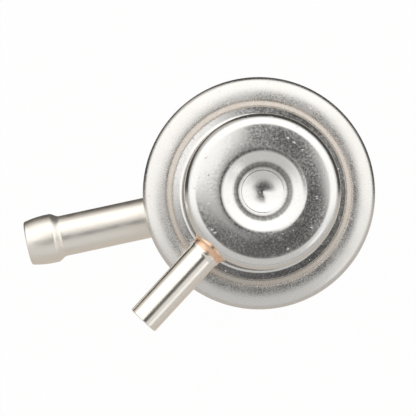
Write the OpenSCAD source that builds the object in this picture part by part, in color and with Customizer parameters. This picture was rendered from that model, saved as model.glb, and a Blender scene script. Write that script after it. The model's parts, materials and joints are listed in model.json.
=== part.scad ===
// Fuel pressure regulator: a drawn cup with two hose tubes, a diaphragm clamped under a rolled rim,
// and a spring cap with a vacuum tube. All sizes in mm.
// The base's underside is z = 0, the stack's axis is Z, and the inlet tube points along -X.

/* [Crimped rim] */
// outside diameter over the rolled rim
rim_d = 45; // [42:0.5:50]
// fall of the domed crown from the crease to the level of the roll's top
rim_fall = 0.35; // [0.1:0.05:0.6]
// width of the lip's rounded edge, from the crease inwards
lip_w = 1.5; // [0.8:0.1:2]
// width of the cap's flange that stays bare inside the lip
bare_w = 1.05; // [0.4:0.05:1.6]
// free air between the clamped flange and the inside of the roll
flange_air = 1.3; // [0.4:0.1:1.5]

/* [Lower cup] */
// outside diameter of the cup's wall
cup_d = 34; // [30:0.5:36]
// height from the base to the underside of the rim
cup_h = 14; // [13.5:0.5:20]
// sheet thickness
cup_t = 1.2; // [0.8:0.1:1.4]
// outside radius of the bend between base and wall
cup_base_r = 2.5; // [1.5:0.1:4]
// radius of the bend under the rim
cup_rim_r = 1; // [0.5:0.1:1.5]
// height of the drawn collar round the return tube, from the base
collar_h = 4; // [2.5:0.1:4.4]
// inside radius of the collar's bend
collar_r = 0.6; // [0.3:0.1:1.2]

/* [Spring cap] */
// outside diameter of the cap's wall
cap_d = 29.2; // [27:0.1:30]
// height of the crown above the cap's flange
cap_h = 17; // [15:0.5:24]
// sheet thickness
cap_t = 1.1; // [0.8:0.1:1.3]
// outside radius of the crown's shoulder
cap_shoulder_r = 2.3; // [1.6:0.1:3]
// radius of the bend between wall and flange
cap_bend_r = 1; // [0.6:0.1:1.6]
// fall of the crown from the dimple's mouth to the shoulder
crown_fall = 0.25; // [0:0.05:0.6]

/* [Dimple in the crown] */
// diameter of the dimple's mouth
dimple_d = 15.5; // [12:0.1:18]
// diameter where the funnel ends and the pocket's wall begins
funnel_d = 10.5; // [9:0.1:11.5]
// depth of the funnel
funnel_depth = 0.95; // [0.4:0.05:1.4]
// diameter at the foot of the pocket's wall
pocket_d = 8.2; // [7:0.1:9]
// depth of the pocket below the funnel
pocket_depth = 0.85; // [0.4:0.05:1.2]
// diameter of the dished floor
dish_d = 7.7; // [5:0.1:8]
// depth of the dished floor
dish_depth = 0.6; // [0.1:0.05:0.8]
// diameter of the setting punch's mark
punch_d = 1.8; // [1:0.1:3]
// depth of the setting punch's mark
punch_depth = 0.1; // [0.05:0.05:0.4]

/* [Fuel tubes] */
// outside diameter of the inlet and return tubes
fuel_d = 8; // [6:0.5:10]
// wall thickness of the fuel tubes
fuel_t = 0.9; // [0.7:0.1:1.2]
// distance from the axis to the inlet tube's mouth
inlet_reach = 46.2; // [36:0.1:60]
// height of the inlet tube's axis above the base
inlet_z = 8.5; // [7.5:0.1:9]
// length of the return tube below the base
return_drop = 22; // [16:0.5:40]
// diameter over the bead's crest
bead_d = 9.6; // [8.8:0.1:11]
// diameter at the bead's mouth
bead_mouth_d = 8.7; // [8.2:0.1:9.4]
// distance of the crest's middle from the mouth
bead_crest = 5.2; // [3:0.1:7]
// length of the cylindrical land on the crest
bead_land = 1.2; // [1:0.1:2]
// length of the whole bead
bead_l = 7.4; // [6.8:0.1:10]
// rounding of the mouth's outer edge
mouth_round = 0.5; // [0.2:0.05:0.6]

/* [Vacuum tube] */
// outside diameter of the vacuum tube
vac_d = 6; // [4:0.5:8]
// wall thickness of the vacuum tube
vac_t = 0.8; // [0.5:0.1:1]
// distance from the axis to the vacuum tube's end
vac_reach = 32.8; // [26:0.1:45]
// distance of the tube's axis below the crown
vac_drop = 4.6; // [4.6:0.1:8]
// angle from the inlet tube to the vacuum tube, seen from the crown
vac_azimuth = 35; // [20:1:160]
// diameter of the tube's swelled root
vac_root_d = 6.3; // [6.2:0.1:6.6]
// distance from the axis to the end of the root
vac_root_end = 15.8; // [15.6:0.1:18]
// length of the taper from root to tube
vac_taper = 0.5; // [0.2:0.1:1]
// bevel on the tube's cut end
vac_edge = 0.15; // [0.05:0.05:0.3]

/* [Brazed joints] */
// gap that the braze runs into round each tube
braze_gap = 0.05; // [0.02:0.01:0.1]
// reach of the braze along the inlet tube, outside the wall
inlet_braze_l = 1.3; // [0.6:0.1:2]
// radius of the inlet braze's hollow
inlet_braze_r = 2.4; // [1.6:0.1:3]
// width of the inlet braze's foot on the wall
inlet_braze_w = 1.4; // [0.8:0.1:1.6]
// reach of the braze along the vacuum tube, from the wall's outermost point
vac_braze_l = 0.9; // [0.5:0.1:1.2]
// thickness of the vacuum braze at its foot
vac_braze_w = 0.55; // [0.3:0.05:0.8]
// size of the return braze's hollow fillet
return_braze_r = 1.4; // [0.8:0.1:2]

/* [Diaphragm] */
// thickness of the rubber
diaphragm_t = 0.8; // [0.5:0.1:1]
// distance of the rubber's edge inside the flange's edge
rubber_inset = 0.1; // [0:0.05:0.5]
// diameter along the middle of the fold
fold_d = 24.8; // [24:0.1:26]
// radius of the fold, to the middle of the rubber
fold_r = 1.1; // [0.8:0.05:1.2]

/* [Main spring] */
// wire diameter
wire_d = 2.2; // [1.6:0.1:2.4]
// free air between the coil and the bend of the pan it stands in
coil_fit = 0.1; // [0.05:0.05:0.4]
// number of open turns between the closed ends
coil_turns = 2.5; // [2:0.25:3.5]
// free air between a closed end turn and the next
coil_air = 0.06; // [0.02:0.02:0.2]

/* [Spring seats] */
// diameter of the lower seat's pan
pan_d = 21.2; // [20.4:0.1:21.6]
// sheet thickness of both seats
seat_sheet = 0.9; // [0.6:0.1:1.2]
// height of the pan's rim above the diaphragm
pan_h = 2.6; // [1.8:0.1:4]
// inside radius of the pan's bend
pan_r = 0.3; // [0.2:0.1:0.8]
// diameter of the upper seat's flange
top_seat_d = 20.8; // [19.6:0.1:22]
// diameter where the upper seat's web meets the flange
web_d = 12.4; // [11:0.1:13]
// diameter of the upper seat's hub
hub_d = 8.8; // [6:0.1:9.6]
// height of the flange above the hub
web_h = 1.3; // [0.8:0.1:1.4]

/* [Valve] */
// height of the valve seat's lip above the base
seat_z = 9.6; // [9.2:0.1:9.8]
// diameter of the valve seat's opening
orifice_d = 3.8; // [2.4:0.1:4.4]
// diameter of the seat's lip
seat_lip_d = 5.4; // [4.6:0.1:6]
// height of the seat's lip
seat_lip_h = 0.4; // [0.2:0.1:0.8]
// diameter of the seat's head and skirt
seat_d = 9.6; // [9.2:0.1:10]
// thickness of the seat's head
seat_head = 1.6; // [1.2:0.1:2]
// length of the skirt over the tube
seat_skirt = 3; // [2:0.1:3]
// diameter of the valve plate
plate_d = 7.2; // [6.4:0.1:8]
// thickness of the valve plate
plate_t = 1; // [0.8:0.1:1.2]
// diameter of the ball
ball_d = 4.8; // [4.4:0.1:5]
// diameter of the flat where ball and plate are joined
ball_flat_d = 3.2; // [2.4:0.1:3.4]
// free air between the valve plate and the holder
plate_air = 0.3; // [0.2:0.05:0.5]
// outside diameter of the holder
holder_d = 9.2; // [8:0.1:10]
// diameter of the riveted stud
stud_d = 6.6; // [6.4:0.1:7.2]
// free air between ball and bore
ball_air = 0.2; // [0.1:0.05:0.3]
// thickness of the stud's end above the bore
stud_roof = 0.7; // [0.5:0.1:1]
// diameter of the rivet head
rivet_d = 8.8; // [7.6:0.1:9.4]
// height of the rivet head
rivet_h = 0.9; // [0.5:0.1:1.4]
// diameter of the washer under the rivet head
washer_d = 11; // [9.6:0.1:12]
// thickness of that washer
washer_t = 0.6; // [0.4:0.1:1]
// diameter of the plate under the diaphragm
under_d = 20.4; // [18:0.1:21]
// thickness of that plate
under_t = 0.9; // [0.6:0.1:1.2]
// thickness of the ball's retaining ring
retainer_t = 0.6; // [0.4:0.05:0.7]
// width of the step that the ring is seated in
retainer_seat = 0.5; // [0.4:0.05:0.8]
// overlap of the ring under the ball
retainer_grip = 0.1; // [0.05:0.05:0.1]
// sliding clearance of pressed parts on the stud and in the holder
stack_air = 0.05; // [0.02:0.01:0.1]
// wire diameter of the ball's spring
ball_wire = 0.35; // [0.25:0.05:0.45]
// mean diameter of the ball's spring
ball_coil_d = 2.8; // [2.2:0.1:3.4]
// turns of the ball's spring
ball_turns = 3; // [2:0.5:3.5]

/* [Hidden] */
$fn = 96;
// the stack, from the base up
clamp_z = cup_h + cup_t;                      // diaphragm's underside
cap_z = clamp_z + diaphragm_t;                // cap flange's underside
flange_top = cap_z + cap_t;                   // where the pressed lip bears
crown_z = flange_top + cap_h;                 // top of the cap
lip_top = flange_top + cup_t;                 // top of the rim at the crease
flange_x = rim_d / 2 - cup_t - flange_air;    // edge of the clamped flange
cup_x = cup_d / 2;
cap_x = cap_d / 2;
cap_foot = cap_x + cap_bend_r;                // where the cap's bend meets its flange
crease_x = cap_foot + bare_w + lip_w;         // where the lip's rounding meets the crown
roll_r = (lip_top - rim_fall - cup_h) / 2;    // outside radius of the roll
roll_x = rim_d / 2 - roll_r;                  // its centre from the axis
roll_z = cup_h + roll_r;
// the crown is level at the crease and runs smoothly into the roll
crown_r = (pow(roll_x - crease_x, 2) + pow(lip_top - roll_z, 2) - roll_r * roll_r) / (2 * rim_fall);
crown_c = lip_top - crown_r;                  // height of the crown's centre, on the crease's line
fuel_r = fuel_d / 2;
fuel_bore = fuel_r - fuel_t;
vac_r = vac_d / 2;
vac_z = crown_z - vac_drop;
root_r = vac_root_d / 2;
tube_top = seat_z - seat_lip_h - seat_head;   // upper end of the return tube
inlet_in = cup_x - cup_t - 0.9;               // inner end of the inlet tube, from the axis
vac_in = cap_x - cap_t - 0.9;                 // inner end of the vacuum tube, from the axis
pan_top = cap_z + seat_sheet;                 // where the main spring stands
hub_top = crown_z - dimple_depth(0) - cap_t;  // the dimple's lowest point inside
coil_top = hub_top + web_h - seat_sheet;      // underside of the upper seat's flange
coil_x = pan_d / 2 - seat_sheet - pan_r - coil_fit - wire_d / 2;
plate_top = seat_z + plate_t;
ball_r = ball_d / 2;
ball_z = plate_top + sqrt(ball_r * ball_r - ball_flat_d * ball_flat_d / 4);
holder_z = plate_top + plate_air;             // lower end of the holder
under_z = clamp_z - under_t;                  // underside of the plate below the diaphragm
rivet_z = pan_top + washer_t;                 // underside of the rivet head
bore_r = ball_r + ball_air;
bore_top = rivet_z - stud_roof;
ball_coil_r = ball_coil_d / 2;
ball_coil_z = ball_z + sqrt(pow(ball_r + ball_wire / 2, 2) - ball_coil_r * ball_coil_r) + 0.02;

// smooth step from 0 to 1
function ease(x) = let (c = min(1, max(0, x))) c * c * (3 - 2 * c);
// straight ramp from 0 to 1 with a rounded start
function ramp(x) = let (c = min(1, max(0, x)), k = 0.3)
    (c < k ? c * c / (2 * k) : c - k / 2) / (1 - k / 2);
function bowl(x, d) = x < d / 2 ? 1 - pow(2 * x / d, 2) : 0;
// depth of the dimple below the crown at distance x from the axis
function dimple_depth(x) =
    funnel_depth * ramp((dimple_d - 2 * x) / (dimple_d - funnel_d))
    + pocket_depth * ease((funnel_d - 2 * x) / (funnel_d - pocket_d))
    + dish_depth * bowl(x, dish_d) + punch_depth * bowl(x, punch_d);

// outside radius of a fuel tube at distance u from its mouth
bead_rise = bead_crest - bead_land / 2;
bead_fall = bead_crest + bead_land / 2;
function bead_x(u) =
    u < mouth_round ? bead_mouth_d / 2 - mouth_round + sqrt(max(0, u * (2 * mouth_round - u)))
    : u < bead_rise ? bead_d / 2
        - (bead_d - bead_mouth_d) / 2 * pow((bead_rise - u) / (bead_rise - mouth_round), 2)
    : u <= bead_fall ? bead_d / 2
    : u < bead_l ? fuel_r + (bead_d / 2 - fuel_r) * (1 + cos(180 * (u - bead_fall) / (bead_l - bead_fall))) / 2
    : fuel_r;
bead_u = concat([for (a = [0:15:90]) mouth_round * (1 - cos(a))],
    [for (i = [1:8]) mouth_round + (bead_rise - mouth_round) * i / 8],
    [for (i = [0:10]) bead_fall + (bead_l - bead_fall) * i / 10]);

// a rectangle in the half-section, from (x0, y0) to (x1, y1)
module strip(x0, y0, x1, y1) { translate([x0, y0]) square([x1 - x0, y1 - y0]); }

// a quarter of a sheet bend round (x, y), in the quadrant that sx and sy point to
module bend(x, y, r_in, t, sx, sy) {
    translate([x, y]) intersection() {
        difference() { circle(r_in + t); if (r_in > 0) circle(r_in); }
        mirror([sx < 0 ? 1 : 0, 0]) mirror([0, sy < 0 ? 1 : 0]) square(r_in + t);
    }
}

// the sliver outside a rounding of radius r at the corner (x, y); the shape lies towards sx, sy
module corner(x, y, r, sx, sy) {
    translate([x, y]) mirror([sx < 0 ? 1 : 0, 0]) mirror([0, sy < 0 ? 1 : 0])
        difference() { translate([-0.01, -0.01]) square(r + 0.01); translate([r, r]) circle(r); }
}

// a radial direction: what is drawn along +Z points away from the axis at height z
module radial(azimuth, z) { rotate([0, 0, azimuth]) translate([0, 0, z]) rotate([0, 90, 0]) children(); }

module along_inlet() { radial(180, inlet_z) children(); }
module along_vacuum() { radial(180 + vac_azimuth, vac_z) children(); }

// a round wire along a list of points, its section turned with the path, cut flat at low and high
module wire(path, r, low, high, sides) {
    n = len(path);
    rings = [for (i = [0:n - 1]) let (p = path[i], q = [p[0], p[1]] / norm([p[0], p[1]]))
        for (k = [0:sides - 1]) let (a = 360 * k / sides, out = r * cos(a))
            [p[0] + q[0] * out, p[1] + q[1] * out, min(high, max(low, p[2] + r * sin(a)))]];
    skin = [for (i = [0:n - 2], k = [0:sides - 1]) let (a = i * sides, m = (k + 1) % sides)
        [a + k, a + sides + k, a + sides + m, a + m]];
    tris = [for (f = skin) each [[f[0], f[1], f[2]], [f[0], f[2], f[3]]]];
    first = [for (k = [0:sides - 1]) (k + sides / 4) % sides];
    last = [for (k = [sides:-1:1]) (n - 1) * sides + (k + 3 * sides / 4) % sides];
    polyhedron(points = rings, faces = concat(tris, [first, last]), convexity = 10);
}

// the cup's half-section without the inlet's hole
module cup_section() {
    hole = fuel_r + braze_gap;
    neck = hole + cup_t + collar_r;
    side = cup_x - cup_base_r;
    foot = cup_x + cup_rim_r;
    gap = (flange_top - clamp_z) / 2;
    gap_x = rim_d / 2 - cup_t - gap;
    lean = atan2(roll_z - crown_c, roll_x - crease_x);
    roll = [for (i = [0:18]) let (a = -90 + (lean + 90) * i / 18) [roll_x, roll_z] + roll_r * [cos(a), sin(a)]];
    crown = [for (i = [1:8]) let (a = lean + (90 - lean) * i / 8) [crease_x, crown_c] + crown_r * [cos(a), sin(a)]];
    lip = [for (a = [9:9:90]) [crease_x - lip_w * sin(a), flange_top + cup_t * cos(a)]];
    strip(hole, cup_t + collar_r, hole + cup_t, collar_h);
    bend(neck, cup_t + collar_r, collar_r, cup_t, -1, -1);
    strip(neck, 0, side, cup_t);
    bend(side, cup_base_r, cup_base_r - cup_t, cup_t, 1, -1);
    strip(cup_x - cup_t, cup_base_r, cup_x, cup_h - cup_rim_r);
    bend(foot, cup_h - cup_rim_r, cup_rim_r, cup_t, -1, 1);
    difference() {
        polygon(concat([[foot, flange_top], [foot, cup_h]], roll, crown, lip));
        strip(0, clamp_z, gap_x, flange_top);
        bend(gap_x, clamp_z + gap, 0, gap, 1, -1);
        bend(gap_x, clamp_z + gap, 0, gap, 1, 1);
    }
}

// the cap's half-section without the vacuum tube's hole
module cap_section() {
    side = cap_x - cap_shoulder_r;
    edge = crown_z - crown_fall;
    shoulder = edge - cap_shoulder_r;
    mouth = dimple_d / 2;
    steps = 44;
    under = [for (i = [0:steps]) let (x = mouth * i / steps) [x, crown_z - dimple_depth(x) - cap_t]];
    top = [for (i = [steps:-1:0]) under[i] + [0, cap_t]];
    strip(cap_foot, cap_z, flange_x, flange_top);
    bend(cap_foot, flange_top + cap_bend_r, cap_bend_r, cap_t, -1, -1);
    strip(cap_x - cap_t, flange_top + cap_bend_r, cap_x, shoulder);
    bend(side, shoulder, cap_shoulder_r - cap_t, cap_t, 1, 1);
    polygon(concat(under, [[side, edge - cap_t], [side, edge]], top));
}

// the space inside the cap's outer skin
module cap_fill() {
    edge = crown_z - crown_fall;
    side = cap_x - cap_shoulder_r;
    rotate_extrude() {
        strip(0, flange_top, cap_x, edge - cap_shoulder_r);
        strip(0, flange_top, side, edge);
        bend(side, edge - cap_shoulder_r, 0, cap_shoulder_r, 1, 1);
    }
}

// half-section of a beaded fuel tube from s = back to its mouth at s = mouth
module fuel_section(back, mouth) {
    outer = [for (u = bead_u) [bead_x(u), mouth - u]];
    inner = [for (i = [len(bead_u) - 1:-1:0]) let (u = bead_u[i])
        [max(fuel_bore, bead_x(max(u, mouth_round)) - fuel_t), mouth - u]];
    polygon(concat(outer, [[fuel_r, back], [fuel_bore, back]], inner));
}

// a hollow fillet on a tube of radius r that ends at s = tip, foot inwards at s = foot, w wide
module fillet_section(r, foot, tip, hollow, w) {
    difference() {
        strip(r, foot, r + w, tip);
        translate([r + hollow, tip]) circle(hollow);
    }
}

module spring_cap() {
    color("#b9b8b4") difference() {
        rotate_extrude() cap_section();
        along_vacuum() translate([0, 0, vac_in - 0.4]) cylinder(r = root_r + braze_gap, h = cap_x);
    }
}

module vacuum_tube() {
    bore = vac_r - vac_t;
    color("#c9c6c0") along_vacuum() rotate_extrude() polygon([[bore, vac_in], [root_r, vac_in],
        [root_r, vac_root_end], [vac_r, vac_root_end + vac_taper], [vac_r, vac_reach - vac_edge],
        [vac_r - vac_edge, vac_reach], [bore, vac_reach]]);
}

module vacuum_tube_braze() {
    tip = cap_x + vac_braze_l;
    drop = cap_x - sqrt(cap_x * cap_x - root_r * root_r);
    reach = vac_braze_l + drop;
    color("#b87a4b") difference($fn = 240) {
        along_vacuum() rotate_extrude() fillet_section(root_r, cap_x - 2.2, tip,
            (reach * reach + vac_braze_w * vac_braze_w) / (2 * vac_braze_w), vac_braze_w);
        cap_fill();
    }
}

module lower_cup() {
    color("#b4b3af") difference() {
        rotate_extrude() cup_section();
        along_inlet() translate([0, 0, cup_x / 2]) cylinder(r = fuel_r + braze_gap, h = cup_x);
    }
}

module inlet_tube() { color("#c9c6c0") along_inlet() rotate_extrude() fuel_section(inlet_in, inlet_reach); }

module inlet_tube_braze() {
    color("#b87a4b") difference($fn = 240) {
        along_inlet() rotate_extrude() fillet_section(fuel_r, cup_x - 1.4, cup_x + inlet_braze_l,
            inlet_braze_r, inlet_braze_w);
        cylinder(r = cup_x, h = cup_h);
    }
}

module return_tube() {
    color("#c9c6c0") rotate([180, 0, 0]) rotate_extrude() fuel_section(-tube_top, return_drop);
}

module return_tube_braze() {
    pool = cup_t + collar_r;
    color("#b87a4b") rotate_extrude() difference() {
        union() {
            strip(fuel_r, 0, fuel_r + return_braze_r, pool);
            mirror([0, 1]) fillet_section(fuel_r, 0, return_braze_r, return_braze_r, return_braze_r);
        }
        translate([fuel_r + braze_gap + pool, pool]) circle(pool);
    }
}

module valve_seat() {
    color("#a8a49a") rotate_extrude() {
        strip(fuel_r + stack_air, tube_top - seat_skirt, seat_d / 2, tube_top);
        strip(orifice_d / 2, tube_top, seat_d / 2, tube_top + seat_head);
        strip(orifice_d / 2, tube_top, seat_lip_d / 2, seat_z);
    }
}

module diaphragm() {
    fold_x = fold_d / 2;
    fold_z = clamp_z + diaphragm_t / 2;
    color("#2c2b2a") rotate_extrude() {
        strip(stud_d / 2 + stack_air, clamp_z, fold_x - fold_r + diaphragm_t / 2, cap_z);
        bend(fold_x, fold_z, fold_r - diaphragm_t / 2, diaphragm_t, 1, 1);
        bend(fold_x, fold_z, fold_r - diaphragm_t / 2, diaphragm_t, -1, 1);
        strip(fold_x + fold_r - diaphragm_t / 2, clamp_z, flange_x - rubber_inset, cap_z);
    }
}

module main_spring() {
    closed = wire_d + coil_air;
    rise = coil_top - pan_top - 2 * closed;
    turns = coil_turns + 2;
    steps = 26;
    path = [for (i = [0:turns * steps]) let (t = i / steps,
        up = t < 1 ? t * closed : t < turns - 1 ? closed + rise * (t - 1) / coil_turns
            : closed + rise + closed * (t - turns + 1))
        [coil_x * cos(360 * t), coil_x * sin(360 * t), pan_top + up]];
    color("#8d8b86") wire(path, wire_d / 2, pan_top, coil_top, 12);
}

module upper_spring_seat() {
    low = hub_top - seat_sheet;
    color("#a8a49a") rotate_extrude() {
        strip(0, low, hub_d / 2, hub_top);
        polygon([[hub_d / 2, low], [web_d / 2, low + web_h], [web_d / 2, hub_top + web_h], [hub_d / 2, hub_top]]);
        strip(web_d / 2, low + web_h, top_seat_d / 2, hub_top + web_h);
    }
}

module lower_spring_seat() {
    edge = pan_d / 2;
    color("#a8a49a") rotate_extrude() {
        strip(stud_d / 2 + stack_air, cap_z, edge - seat_sheet - pan_r, pan_top);
        bend(edge - seat_sheet - pan_r, pan_top + pan_r, pan_r, seat_sheet, 1, -1);
        strip(edge - seat_sheet, pan_top + pan_r, edge, cap_z + pan_h);
    }
}

module diaphragm_lower_plate() {
    color("#a8a49a") rotate_extrude() difference() {
        strip(stud_d / 2 + stack_air, under_z, under_d / 2, clamp_z);
        corner(under_d / 2, clamp_z, under_t / 2, -1, -1);
    }
}

module valve_holder() {
    dome = (rivet_d * rivet_d / 4 + rivet_h * rivet_h) / (2 * rivet_h);
    color("#b3a374") rotate_extrude() {
        difference() {
            union() {
                strip(0, holder_z, holder_d / 2, under_z);
                strip(0, under_z, stud_d / 2, rivet_z);
            }
            strip(0, holder_z, bore_r, bore_top);
            strip(0, holder_z, bore_r + retainer_seat, holder_z + retainer_t);
        }
        intersection() {
            translate([0, rivet_z + rivet_h - dome]) circle(dome);
            strip(0, rivet_z, rivet_d / 2, rivet_z + rivet_h);
        }
    }
}

module rivet_washer() {
    color("#a8a49a") rotate_extrude() strip(stud_d / 2 + stack_air, pan_top, washer_d / 2, rivet_z);
}

module valve_ball() {
    color("#c8c8c8") difference() {
        translate([0, 0, ball_z]) sphere(ball_r);
        translate([-ball_r, -ball_r, plate_top - ball_d]) cube([ball_d, ball_d, ball_d]);
    }
}

module valve_plate() { color("#c8c8c8") translate([0, 0, seat_z]) cylinder(d = plate_d, h = plate_t); }

module ball_spring() {
    steps = 18;
    rise = bore_top - ball_wire / 2 - ball_coil_z;
    path = [for (i = [0:ball_turns * steps]) let (t = i / steps)
        [ball_coil_r * cos(360 * t), ball_coil_r * sin(360 * t), ball_coil_z + rise * t / ball_turns]];
    color("#8d8b86") wire(path, ball_wire / 2, 0, bore_top, 8);
}

module ball_retainer() {
    color("#a8a49a") rotate_extrude()
        strip(ball_r - retainer_grip, holder_z, bore_r + retainer_seat - stack_air, holder_z + retainer_t);
}

spring_cap();
vacuum_tube();
vacuum_tube_braze();
lower_cup();
inlet_tube();
inlet_tube_braze();
return_tube();
return_tube_braze();
valve_seat();
diaphragm();
main_spring();
upper_spring_seat();
lower_spring_seat();
diaphragm_lower_plate();
valve_holder();
rivet_washer();
valve_ball();
valve_plate();
ball_spring();
ball_retainer();
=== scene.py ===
"""Dresses the fuel pressure regulator: plated cap, crimped cup, nickel tubes, copper joints, inner stack."""

import json
import math
from functools import partial

import bpy
import numpy as np
from mathutils import Matrix, Vector


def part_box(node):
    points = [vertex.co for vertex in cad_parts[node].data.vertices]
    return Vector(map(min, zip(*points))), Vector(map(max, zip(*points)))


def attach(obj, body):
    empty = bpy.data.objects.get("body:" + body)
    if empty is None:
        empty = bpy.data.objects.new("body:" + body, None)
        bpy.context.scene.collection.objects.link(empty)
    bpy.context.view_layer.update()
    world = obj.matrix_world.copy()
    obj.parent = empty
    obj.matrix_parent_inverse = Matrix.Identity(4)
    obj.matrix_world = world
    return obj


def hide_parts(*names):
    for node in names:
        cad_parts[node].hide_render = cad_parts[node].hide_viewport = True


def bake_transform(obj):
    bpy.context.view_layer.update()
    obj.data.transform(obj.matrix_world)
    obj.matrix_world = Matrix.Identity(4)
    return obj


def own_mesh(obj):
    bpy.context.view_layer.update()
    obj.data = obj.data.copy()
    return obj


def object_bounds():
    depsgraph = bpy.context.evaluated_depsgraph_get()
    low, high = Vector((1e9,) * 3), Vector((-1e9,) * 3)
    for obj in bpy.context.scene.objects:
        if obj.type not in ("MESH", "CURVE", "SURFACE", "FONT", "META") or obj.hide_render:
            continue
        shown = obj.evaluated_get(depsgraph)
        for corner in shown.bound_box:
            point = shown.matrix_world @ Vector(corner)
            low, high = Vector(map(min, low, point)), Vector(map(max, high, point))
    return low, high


bl_info = {
    "name": "Fuel pressure regulator",
    "version": (1, 0, 0),
    "blender": (4, 5, 0),
    "location": "View3D > Sidebar > Regulator",
    "description": "Builds the visible pieces of a crimped fuel pressure regulator round its packed frame",
    "category": "Add Mesh",
}

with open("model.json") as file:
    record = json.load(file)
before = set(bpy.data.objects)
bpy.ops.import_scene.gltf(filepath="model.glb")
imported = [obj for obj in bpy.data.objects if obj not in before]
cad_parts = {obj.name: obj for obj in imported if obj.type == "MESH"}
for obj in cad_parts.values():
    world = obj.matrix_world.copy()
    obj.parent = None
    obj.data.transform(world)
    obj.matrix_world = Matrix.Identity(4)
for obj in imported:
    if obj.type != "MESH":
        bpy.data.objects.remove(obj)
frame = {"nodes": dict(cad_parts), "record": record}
CAD_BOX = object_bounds()

MM = 0.001
MICRON = 1e-6
ROUND = 240  # facets round the axis of a turned or drawn piece
SHARP = math.radians(38)  # edges sharper than this stay sharp in the shading
PAST_WALL = 1.2  # where a drill ends, as a share of the radius of the wall that it goes through
WAVE = 20  # radians that a wave texture turns by in one unit, at a scale of 1
NOISE = (0.3, 0.7)  # range in which most of a noise texture lies
WHITE = (1, 1, 1, 1)
SMOOTH = {"interpolation_type": "SMOOTHSTEP"}
RGBA = {"data_type": "RGBA"}
TURN_Z = {"rotation_type": "Z_AXIS"}
MOUNTS = {mount["name"]: mount for mount in frame["record"]["mounts"]}
LOW = {name: np.array(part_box(name)[0]) for name in frame["nodes"]}
HIGH = {name: np.array(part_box(name)[1]) for name in frame["nodes"]}

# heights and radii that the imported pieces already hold
RIM_R = HIGH["lower_cup"][1]
LIP_TOP = HIGH["lower_cup"][2]
CROWN_Z = HIGH["spring_cap"][2]
FLANGE_R = HIGH["spring_cap"][1]
CAP_Z = LOW["spring_cap"][2]
CLAMP_Z = LOW["diaphragm"][2]
SEAT_END = HIGH["return_tube"][2]


def mount_axis(name):
    """Unit direction in which a mount faces."""
    return np.array(MOUNTS[name]["axis"], float)


def mount_radius(name):
    """Radius of a mount's round wall, in metres."""
    return MOUNTS[name]["dims"]["r_mm"] * MM


INLET_AXIS = mount_axis("inlet_bore")
INLET_Z = MOUNTS["inlet_bore"]["pos_m"][2]
VACUUM_AXIS = mount_axis("vacuum_bore")
VACUUM_Z = MOUNTS["vacuum_bore"]["pos_m"][2]
FUEL_BORE = mount_radius("inlet_bore")
VACUUM_BORE = mount_radius("vacuum_bore")
VACUUM_R = mount_radius("vacuum_port")


def length(label, size_mm, text):
    """A length property whose default is given in millimetres."""
    return bpy.props.FloatProperty(name=label, description=text, default=size_mm * MM, unit="LENGTH",
                                   precision=5)


def degrees(label, angle, text):
    """An angle property whose default is given in degrees."""
    return bpy.props.FloatProperty(name=label, description=text, default=math.radians(angle), subtype="ANGLE")


def number(label, value, text):
    """A plain factor between 0 and 2."""
    return bpy.props.FloatProperty(name=label, description=text, default=value, min=0, max=2,
                                   subtype="FACTOR")


def linear(code):
    """An sRGB hex colour as linear red, green and blue."""
    channels = np.array([int(code[i:i + 2], 16) for i in (1, 3, 5)]) / 255
    return tuple(np.where(channels <= 0.04045, channels / 12.92, ((channels + 0.055) / 1.055) ** 2.4))


def colour(label, code, text):
    """A colour property whose default is an sRGB hex value."""
    return bpy.props.FloatVectorProperty(name=label, description=text, default=linear(code), size=3,
                                         subtype="COLOR", min=0, max=1)


class RegulatorCap(bpy.types.PropertyGroup):
    """Sizes of the drawn spring cap."""

    wall_r: length("Wall radius", 14.6, "Outside radius of the cap's wall")
    sheet: length("Sheet", 1.1, "Sheet thickness")
    shoulder_r: length("Shoulder", 2.7, "Outside radius of the crown's shoulder")
    bend_r: length("Bend", 1.0, "Radius of the bend between wall and flange")
    flange_lean: degrees("Flange lean", 4.0, "Slope of the bare flange, down and outwards")
    crown_fall: length("Crown fall", 0.25, "Fall of the crown from the dimple's mouth to the shoulder")
    dimple_r: length("Dimple", 8.2, "Radius of the dimple's mouth")
    funnel_r: length("Funnel", 5.45, "Radius where the funnel ends and the pocket's wall begins")
    funnel_depth: length("Funnel depth", 0.95, "Depth of the funnel")
    pocket_r: length("Pocket", 4.35, "Radius at the foot of the pocket's wall")
    pocket_depth: length("Pocket depth", 1.25, "Depth of the pocket below the funnel")
    ledge_r: length("Ledge", 4.0, "Radius at the inner edge of the sloping ledge under the pocket's wall")
    ledge_depth: length("Ledge depth", 0.18, "Fall of the ledge")
    dish_r: length("Dish", 3.9, "Radius of the dished floor")
    dish_depth: length("Dish depth", 0.9, "Depth of the dished floor")
    punch_r: length("Punch mark", 0.6, "Radius of the setting punch's mark")
    punch_depth: length("Punch depth", 0.02, "Depth of the setting punch's mark")
    inner_depth: length("Inner depth", 2.5, "Depth of the crown's inner face, over the spring seat")


class RegulatorCup(bpy.types.PropertyGroup):
    """Sizes of the drawn cup and its crimped rim."""

    wall_r: length("Wall radius", 17.0, "Outside radius of the cup's wall")
    rim_z: length("Rim height", 14.0, "Height of the rim's underside above the base")
    sheet: length("Sheet", 1.2, "Sheet thickness")
    base_r: length("Base bend", 2.5, "Outside radius of the bend between base and wall")
    rim_bend_r: length("Rim bend", 1.0, "Radius of the bend under the rim")
    collar_h: length("Collar", 4.0, "Height of the drawn collar round the return tube")
    collar_r: length("Collar bend", 0.6, "Inside radius of the collar's bend")
    rim_fall: length("Crown fall", 0.55, "Fall of the rim's crown from the crease to the roll")
    lip_w: length("Lip", 1.5, "Width of the lip's rounded edge")
    bare_w: length("Bare flange", 1.05, "Width of the cap's flange left bare inside the lip")


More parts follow.
